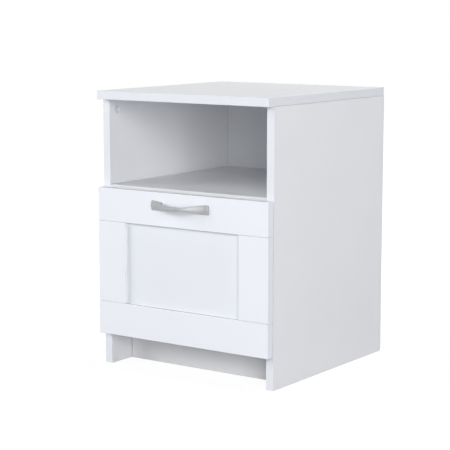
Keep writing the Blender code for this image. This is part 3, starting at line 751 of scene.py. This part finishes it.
for side, hand in SIDES.items():
    channel_low, channel_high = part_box(f"cabinet_runner_{side}")
    wall_x = channel_low.x if hand < 0 else channel_high.x
    lip_x = channel_high.x if hand < 0 else channel_low.x
    web_x = wall_x - hand * STEEL_THICKNESS / 2
    track_z = channel_low.z + STEEL_THICKNESS / 2
    roof_z = channel_high.z - STEEL_THICKNESS / 2
    folds = ((lip_x, track_z), (web_x, track_z), (web_x, roof_z), (lip_x, roof_z))
    channel = folded_strip(f"cabinet_channel_{side}", folds, channel_low.y, channel_high.y)
    keep_corners(channel, FOLD_SHARP_ANGLE)
    fit(channel, "cabinet", "enamel", f"cabinet_runner_{side}")

    rail_low, rail_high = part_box(f"drawer_runner_{side}")
    drawer_side_low, drawer_side_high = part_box(f"drawer_{side}_side")
    drawer_face_x = drawer_side_low.x if hand < 0 else drawer_side_high.x
    run_x = rail_low.x if hand < 0 else rail_high.x
    under_x = rail_high.x if hand < 0 else rail_low.x
    rail_web_x = drawer_face_x + hand * (RAIL_GAP + STEEL_THICKNESS / 2)
    run_z = rail_high.z - STEEL_THICKNESS / 2
    under_z = rail_high.z - RAIL_WEB_HEIGHT + STEEL_THICKNESS / 2
    folds = ((under_x, under_z), (rail_web_x, under_z), (rail_web_x, run_z), (run_x, run_z))
    rail = folded_strip(f"drawer_rail_{side}", folds, rail_low.y, rail_high.y)
    axle_low, axle_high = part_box(f"drawer_axle_{side}")
    axle_y = (axle_low.y + axle_high.y) / 2
    axle_z = (axle_low.z + axle_high.z) / 2
    tab_top = run_z - RAIL_WEB_HEIGHT / 2
    tab_outline = [(axle_y + TAB_RADIUS, tab_top), (axle_y - TAB_RADIUS, tab_top)]
    for step in range(TAB_STEPS + 1):
        angle = pi + pi * step / TAB_STEPS
        tab_outline.append((axle_y + TAB_RADIUS * cos(angle), axle_z + (axle_z - rail_low.z) * sin(angle)))
    tab_half = STEEL_THICKNESS * TAB_HALF_SHARE
    tab = [[(x, y, z) for y, z in tab_outline] for x in (rail_web_x - tab_half, rail_web_x + tab_half)]
    reshape(rail, prism(tab, smooth=False), "UNION")
    keep_corners(rail, FOLD_SHARP_ANGLE)
    fit(rail, "drawer", "enamel", f"drawer_runner_{side}")

    channel_screws = []
    rail_screws = []
    for share in RUNNER_SCREWS:
        head = cross_head_screw(RUNNER_SCREW_HEAD, CHANNEL_SCREW_PROUD, STEEL_THICKNESS)
        place = (
            wall_x - hand * STEEL_THICKNESS,
            channel_low.y + share * (channel_high.y - channel_low.y),
            channel_high.z - CHANNEL_SCREW_DROP,
        )
        head.transform(Matrix.Translation(place) @ facing((-hand, 0, 0)))
        channel_screws.append(head)
        head = cross_head_screw(RUNNER_SCREW_HEAD, RAIL_SCREW_PROUD, STEEL_THICKNESS)
        place = (
            (under_x + drawer_face_x) / 2,
            rail_low.y + share * (rail_high.y - rail_low.y),
            under_z - STEEL_THICKNESS / 2,
        )
        head.transform(Matrix.Translation(place) @ facing((0, 0, -1)))
        rail_screws.append(head)
    for name, heads, body in (
        (f"channel_screws_{side}", channel_screws, "cabinet"),
        (f"rail_screws_{side}", rail_screws, "drawer"),
    ):
        screws = object_from(name, join_forms(heads), (plated_steel,))
        keep_corners(screws, HEAD_SHARP_ANGLE)
        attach(screws, body)

# Rollers and axles
# Natural nylon wheels, moulded with a recessed web, that turn on steel rivets. One is at the front of
# each channel and carries the rail, the other at the back of each rail runs inside the channel.
NYLON_TONES = ((0.70, 0.70, 0.66), (0.62, 0.62, 0.58))
RIVET_TONES = ((0.56, 0.57, 0.58), (0.46, 0.47, 0.48))
ROLLER_BORE = 0.0023
HUB_RADIUS = 0.0036
WEB_RECESS = 0.0006
TREAD_INSIDE = 0.0068
TREAD_ROUND = 0.0008
TREAD_STEPS = 4
WHEEL_STEPS = 64
WHEEL_SHARP_ANGLE = 38
RIVET_RADIUS = 0.002
RIVET_HEAD = 0.0035
RIVET_STEPS = 32
# Points of a rivet's head, as shares of its radius and of the collar that stands out past the wheel.
RIVET_PROFILE = ((1, 0.45), (1, 0.25), (0.8, 0.08), (0.4, 0))
nylon = coated_finish(
    "roller_nylon", NYLON_TONES, patch=110.0, gloss=(0.38, 0.5), grain=1300.0, relief=0.00001, pebble=0.4
)
rivet_steel = coated_finish(
    "rivet_steel",
    RIVET_TONES,
    patch=260.0,
    gloss=(0.22, 0.36),
    grain=2600.0,
    relief=0.00001,
    pebble=0.2,
    constants={"Metallic": 1.0},
)
for side, hand in SIDES.items():
    for owner, outwards in (("cabinet", -hand), ("drawer", hand)):
        low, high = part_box(f"{owner}_roller_{side}")
        radius = (high.z - low.z) / 2
        half = (high.x - low.x) / 2
        profile = []
        for way in (-1, 1):
            rim = [
                (ROLLER_BORE, way * half),
                (HUB_RADIUS, way * half),
                (HUB_RADIUS + WEB_RECESS / 2, way * (half - WEB_RECESS)),
                (TREAD_INSIDE - WEB_RECESS / 2, way * (half - WEB_RECESS)),
                (TREAD_INSIDE, way * half),
            ]
            for step in range(TREAD_STEPS + 1):
                angle = pi / 2 * step / TREAD_STEPS
                tread = radius - TREAD_ROUND * (1 - sin(angle))
                rim.append((tread, way * (half - TREAD_ROUND * (1 - cos(angle)))))
            profile += rim if way < 0 else rim[::-1]
        wheel = object_from(f"{owner}_wheel_{side}", turned(profile, WHEEL_STEPS, closed=True), (nylon,))
        keep_corners(wheel, WHEEL_SHARP_ANGLE)
        turn = facing((outwards, 0, 0))
        wheel.matrix_world = Matrix.Translation((low + high) / 2) @ turn
        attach(wheel, f"{owner}_roller_{side}")
        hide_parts(f"{owner}_roller_{side}")

        axle_low, axle_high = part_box(f"{owner}_axle_{side}")
        reach = (axle_high.x - axle_low.x) / 2
        collar = reach - half
        head = [(RIVET_HEAD * share, reach - collar * depth) for share, depth in RIVET_PROFILE]
        profile = [(0, -reach), (RIVET_RADIUS, -reach), (RIVET_RADIUS, head[0][1]), *head, (0, reach)]
        rivet = object_from(f"{owner}_rivet_{side}", turned(profile, RIVET_STEPS), (rivet_steel,))
        keep_corners(rivet, WHEEL_SHARP_ANGLE)
        rivet.matrix_world = Matrix.Translation((axle_low + axle_high) / 2) @ turn
        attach(rivet, owner)
        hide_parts(f"{owner}_axle_{side}")

# Drawer box
# Sides and back of the same laminated board, banded on top. The sides are grooved for the thin hardboard
# bottom and housed for the back, and a cam and a dowel hold each to the drawer front.
HOUSING_CLEARANCE = 0.0003


def house(target, node):
    """Routs the housing that another board sits in, with a little clearance."""
    low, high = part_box(node)
    play = Vector((HOUSING_CLEARANCE,) * 3)
    reshape(target, block(low - play, high + play))


for side in SIDES:
    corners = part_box(f"drawer_{side}_side")
    drawer_side = eased_board(f"drawer_{side}_board", corners, BOARD_FINISHES, ("upper",))
    house(drawer_side, "drawer_bottom")
    house(drawer_side, "drawer_back")
    bore_for_cam(drawer_side, f"drawer_cam_{side}", X)
    fit(drawer_side, "drawer", "laminate", f"drawer_{side}_side")
drawer_back = eased_board("drawer_back_board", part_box("drawer_back"), BOARD_FINISHES, ("upper",))
fit(drawer_back, "drawer", "laminate", "drawer_back")
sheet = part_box("drawer_bottom")
drawer_floor = eased_board("drawer_floor", sheet, (hardboard_paint_and_shade,), round_off=SHEET_ROUND)
fit(drawer_floor, "drawer", "hardboard", "drawer_bottom")

# Framed drawer front
# Fibreboard rails and stiles wrapped in smooth white foil around a recessed panel. The rails run the full
# width, the stiles are tongued between them, and softly rounded arrises leave a fine line at each joint.
# The panel's foil is a shade darker than the frame's and the ledge of the bottom rail is grey, both as
# painted shade of the recess.
FOIL_TONES = ((0.853, 0.875, 0.932), (0.841, 0.863, 0.920))
# A little darker than the frame's foil: painted shade of the recess.
PANEL_SHADE_TONES = ((0.811, 0.834, 0.888), (0.799, 0.822, 0.876))
# Grey for the upward ledge of the bottom rail: painted shade of the recess.
LEDGE_PAINTED_SHADE_TONES = ((0.60, 0.605, 0.61), (0.55, 0.555, 0.56))
FOIL_SKIN = {
    "patch": 7.0,
    "gloss": (0.55, 0.64),
    "grain": 260.0,
    "relief": 0.00001,
    "pebble": 0.2,
    "constants": {"Specular IOR Level": 0.2},
}
FRONT_ROUND = 0.0009
PANEL_ROUND = 0.0004
JOINT_GAP = 0.0003
FLAT_UPWARDS = 0.99
foil = coated_finish("white_foil", FOIL_TONES, **FOIL_SKIN)
panel_foil_painted_shade = coated_finish("panel_foil_painted_shade", PANEL_SHADE_TONES, **FOIL_SKIN)
painted_shade_ledge = coated_finish(
    "painted_shade_ledge", LEDGE_PAINTED_SHADE_TONES, patch=40.0, gloss=(0.7, 0.8), grain=700.0, relief=0.00002
)
stile_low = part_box("front_bottom_rail")[1].z + JOINT_GAP
stile_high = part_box("front_top_rail")[0].z - JOINT_GAP
for member in ("top_rail", "bottom_rail", "left_stile", "right_stile"):
    low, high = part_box(f"front_{member}")
    if "stile" in member:
        low.z = stile_low
        high.z = stile_high
    frame_board = eased_board(f"drawer_{member}", (low, high), (foil,), round_off=FRONT_ROUND)
    house(frame_board, "front_panel")
    # The upward ledge takes the grey finish: painted shade in the bottom of the recess.
    if member == "bottom_rail":
        frame_board.data.materials.append(painted_shade_ledge)
        for polygon in frame_board.data.polygons:
            if polygon.normal.z > FLAT_UPWARDS:
                polygon.material_index = 1
    fit(frame_board, "drawer", "front_foil", f"front_{member}")
panel = eased_board("drawer_panel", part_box("front_panel"), (panel_foil_painted_shade,), round_off=PANEL_ROUND)
fit(panel, "drawer", "front_foil", "front_panel")

# Bow handle
# A cast strap with a satin grey finish that springs in one arch from two solid feet. It is waisted in the
# middle, flares to both ends, and its face is crowned. Two screws hold it from inside the drawer.
SATIN_TONES = ((0.46, 0.466, 0.478), (0.415, 0.421, 0.433))
WAIST_HEIGHT = 0.0070
FOOT_THICKNESS = 0.0034
WAIST_THICKNESS = 0.005
HANDLE_CROWN = 0.0026
CROWN_POWER = 1.35
CROWN_POINTS = 17
CREST_SHARE = 0.19
FOOT_SHARE = 0.93
BOW_HALF = 0.040
BOW_POWER = 4
BOW_STATIONS = 96
CORNER_ROUND = 0.0009
CORNER_LIMIT = 0.45
CORNER_STEPS = 3
END_ROUND = 0.0010
END_STATIONS = 5
STRAP_SHARP_ANGLE = 50
satin_grey = coated_finish(
    "satin_grey",
    SATIN_TONES,
    patch=90.0,
    gloss=(0.52, 0.62),
    grain=2800.0,
    relief=0.000012,
    constants={"Metallic": 0.45},
)
handle_low, handle_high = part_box("handle")
handle_half = (handle_high.x - handle_low.x) / 2
handle_reach = handle_high.y - handle_low.y
end_height = handle_high.z - handle_low.z


def eased(share, start, end):
    """Goes from 0 at the start to 1 at the end in a soft S."""
    along = min(max((share - start) / (end - start), 0), 1)
    return along * along * (3 - 2 * along)


def strap_section(x, inset):
    """The strap's outline as (reach, height) points, drawn in by an inset where the end is rounded."""
    share = abs(x) / handle_half
    half = (WAIST_HEIGHT + (end_height - WAIST_HEIGHT) * eased(share, CREST_SHARE, 1)) / 2
    crown = HANDLE_CROWN * half / (end_height / 2)
    crest = FOOT_THICKNESS + (handle_reach - FOOT_THICKNESS) * eased(share, FOOT_SHARE, CREST_SHARE) - inset
    hollow = (handle_reach - WAIST_THICKNESS) * (1 - min(abs(x) / BOW_HALF, 1) ** BOW_POWER)
    half -= inset
    face = crest - crown
    corner = min(CORNER_ROUND, (face - hollow) * CORNER_LIMIT, half * CORNER_LIMIT)
    tilt = atan(CROWN_POWER * crown / half)
    lower = []
    for reach, start, end in (
        (hollow + corner, pi, pi * 1.5),
        (face - corner, pi * 1.5, pi * 2 - tilt),
    ):
        for step in range(CORNER_STEPS + 1):
            angle = start + (end - start) * step / CORNER_STEPS
            lower.append((reach + corner * cos(angle), corner - half + corner * sin(angle)))
    crowned = []
    for step in range(1, CROWN_POINTS - 1):
        across = 2 * step / (CROWN_POINTS - 1) - 1
        crowned.append((crest - crown * abs(across) ** CROWN_POWER, (half - corner / 2) * across))
    return lower + crowned + [(reach, -height) for reach, height in reversed(lower)]


stations = []
for step in range(END_STATIONS):
    angle = pi / 2 * step / END_STATIONS
    stations.append((handle_half - END_ROUND * (1 - cos(angle)), END_ROUND * (1 - sin(angle))))
bow = [(handle_half - END_ROUND) * cos(pi * step / BOW_STATIONS) for step in range(BOW_STATIONS + 1)]
stations += [(x, 0) for x in bow]
stations += [(-x, inset) for x, inset in reversed(stations[:END_STATIONS])]
strap = bmesh.new()
loops = []
for x, inset in stations:
    loops.append([strap.verts.new((x, -reach, height)) for reach, height in strap_section(x, inset)])
join_rings(strap, loops)
strap.faces.new(loops[0])
strap.faces.new(loops[-1])
strap.transform(Matrix.Translation((0, handle_high.y, (handle_low.z + handle_high.z) / 2)))
bow_handle = object_from("bow_handle", strap, (satin_grey,))
keep_corners(bow_handle, STRAP_SHARP_ANGLE)
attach(bow_handle, "drawer")
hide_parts("handle")

# Handle screws
# Plated machine screws through the top rail into the feet of the handle. Their domed cross heads show
# inside the drawer.
SHANK_SHARE = 0.5
SHANK_TIP_SHARE = 0.4
SHANK_TAPER_SHARE = 0.3
SHANK_STEPS = 24
seat_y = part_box("front_top_rail")[1].y
for side in SIDES:
    low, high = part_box(f"handle_screw_{side}")
    radius = (high.x - low.x) / 2
    proud = high.y - seat_y
    tip = low.y - seat_y
    profile = [
        (0, tip),
        (radius * SHANK_TIP_SHARE, tip),
        (radius * SHANK_SHARE, tip + radius * SHANK_TAPER_SHARE),
        (radius * SHANK_SHARE, -proud),
        (0, -proud),
    ]
    form = join_forms([cross_head_screw(radius, proud, proud), turned(profile, SHANK_STEPS)])
    seat = ((low.x + high.x) / 2, seat_y, (low.z + high.z) / 2)
    form.transform(Matrix.Translation(seat) @ facing((0, 1, 0)))
    handle_screw = object_from(f"handle_fixing_{side}", form, (plated_steel,))
    keep_corners(handle_screw, HEAD_SHARP_ANGLE)
    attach(handle_screw, "drawer")
    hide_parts(f"handle_screw_{side}")

# Studio
# A pale floor under soft white light: large softboxes in front, at both sides and high up behind, of which
# the left one is kept out of reflections, and an even fill from all round. The camera stands a little
# higher than the top and looks at the right-hand corner.
FLOOR_SIZE = 12.0
FLOOR_TONE = (0.33, 0.33, 0.33, 1)
FLOOR_SHADOW_TONE = (0.16, 0.16, 0.16, 1)
FLOOR_GLOW = 0.89
SHADOW_REACH = (0.35, 1.1)
FILL_TONE = (0.95, 0.97, 1.0, 1)
FILL_STRENGTH = 0.03
SOFTBOX_AIM = (0, 0, 0.27)
# Each softbox: its place, its width and height, its power, and whether reflections show it.
SOFTBOXES = {
    "front_softbox": ((3.30, -3.58, 1.39), (3.0, 2.8), 189, True),
    "left_softbox": ((-3.85, -2.69, 1.98), (3.2, 2.4), 180, False),
    "right_softbox": ((3.75, 0.66, 1.51), (1.8, 1.6), 16, True),
    "rear_softbox": ((0.81, 3.02, 3.08), (2.4, 2.0), 93, True),
}
CAMERA_PLACE = (1.6392, -2.3796, 0.6952)
CAMERA_YAW = 35.119
CAMERA_PITCH = -8.455
CAMERA_LENS = 119.798
CAMERA_SENSOR = 36.0


def seen_directly(tree):
    """1 where a ray comes from the camera, a mirror or glass, and 0 where it only lights other things."""
    path = add_node(tree, "ShaderNodeLightPath").outputs
    seen = path["Is Camera Ray"]
    for kind in ("Is Glossy Ray", "Is Transmission Ray"):
        either = add_node(tree, "ShaderNodeMath", feeds={0: seen, 1: path[kind]}, operation="MAXIMUM")
        seen = either.outputs["Value"]
    return seen


floor_form = bmesh.new()
bmesh.ops.create_grid(floor_form, x_segments=1, y_segments=1, size=FLOOR_SIZE / 2)
floor_finish = bpy.data.materials.new("pale_floor")
floor_finish.use_nodes = True
floor_tree = floor_finish.node_tree
floor_tree.nodes.remove(floor_tree.nodes["Principled BSDF"])
plain = add_node(floor_tree, "ShaderNodeBsdfDiffuse", {"Color": FLOOR_TONE})
shadowed = add_node(floor_tree, "ShaderNodeBsdfDiffuse", {"Color": FLOOR_SHADOW_TONE})
place = add_node(floor_tree, "ShaderNodeTexCoord").outputs["Object"]
distance = add_node(floor_tree, "ShaderNodeVectorMath", feeds={0: place}, operation="LENGTH")
evened = add_node(
    floor_tree,
    "ShaderNodeMapRange",
    {"From Min": SHADOW_REACH[0], "From Max": SHADOW_REACH[1], "To Min": FLOOR_GLOW, "To Max": 1.0},
    {"Value": distance.outputs["Value"]},
)
glow = add_node(floor_tree, "ShaderNodeEmission", feeds={"Strength": evened.outputs["Result"]})
bright = add_node(
    floor_tree, "ShaderNodeAddShader", feeds={0: shadowed.outputs["BSDF"], 1: glow.outputs["Emission"]}
)
floor_mix = add_node(
    floor_tree,
    "ShaderNodeMixShader",
    feeds={"Fac": seen_directly(floor_tree), 1: plain.outputs["BSDF"], 2: bright.outputs["Shader"]},
)
floor_tree.links.new(floor_mix.outputs["Shader"], floor_tree.nodes["Material Output"].inputs["Surface"])
floor = object_from("studio_floor", floor_form, (floor_finish,))

world = bpy.data.worlds.new("studio_fill")
bpy.context.scene.world = world
world.use_nodes = True
world_tree = world.node_tree
fill = world_tree.nodes["Background"]
fill.inputs["Color"].default_value = FILL_TONE
fill.inputs["Strength"].default_value = FILL_STRENGTH
backdrop = add_node(world_tree, "ShaderNodeBackground", {"Color": (1, 1, 1, 1), "Strength": 1.0})
world_mix = add_node(
    world_tree,
    "ShaderNodeMixShader",
    feeds={
        "Fac": seen_directly(world_tree),
        1: fill.outputs["Background"],
        2: backdrop.outputs["Background"],
    },
)
world_tree.links.new(world_mix.outputs["Shader"], world_tree.nodes["World Output"].inputs["Surface"])

for name, (place, size, power, mirrored) in SOFTBOXES.items():
    lamp = bpy.data.lights.new(name, "AREA")
    lamp.shape = "RECTANGLE"
    lamp.size, lamp.size_y = size
    lamp.energy = power
    softbox = bpy.data.objects.new(name, lamp)
    softbox.location = place
    softbox.visible_glossy = mirrored
    softbox.rotation_euler = (Vector(SOFTBOX_AIM) - Vector(place)).to_track_quat("-Z", "Y").to_euler()
    bpy.context.scene.collection.objects.link(softbox)

camera_data = bpy.data.cameras.new("camera")
camera_data.lens = CAMERA_LENS
camera_data.sensor_width = CAMERA_SENSOR
camera = bpy.data.objects.new("camera", camera_data)
camera.location = CAMERA_PLACE
camera.rotation_euler = (radians(90 + CAMERA_PITCH), 0, radians(CAMERA_YAW))
bpy.context.scene.collection.objects.link(camera)
bpy.context.scene.camera = camera
bpy.context.scene.view_settings.view_transform = "Standard"
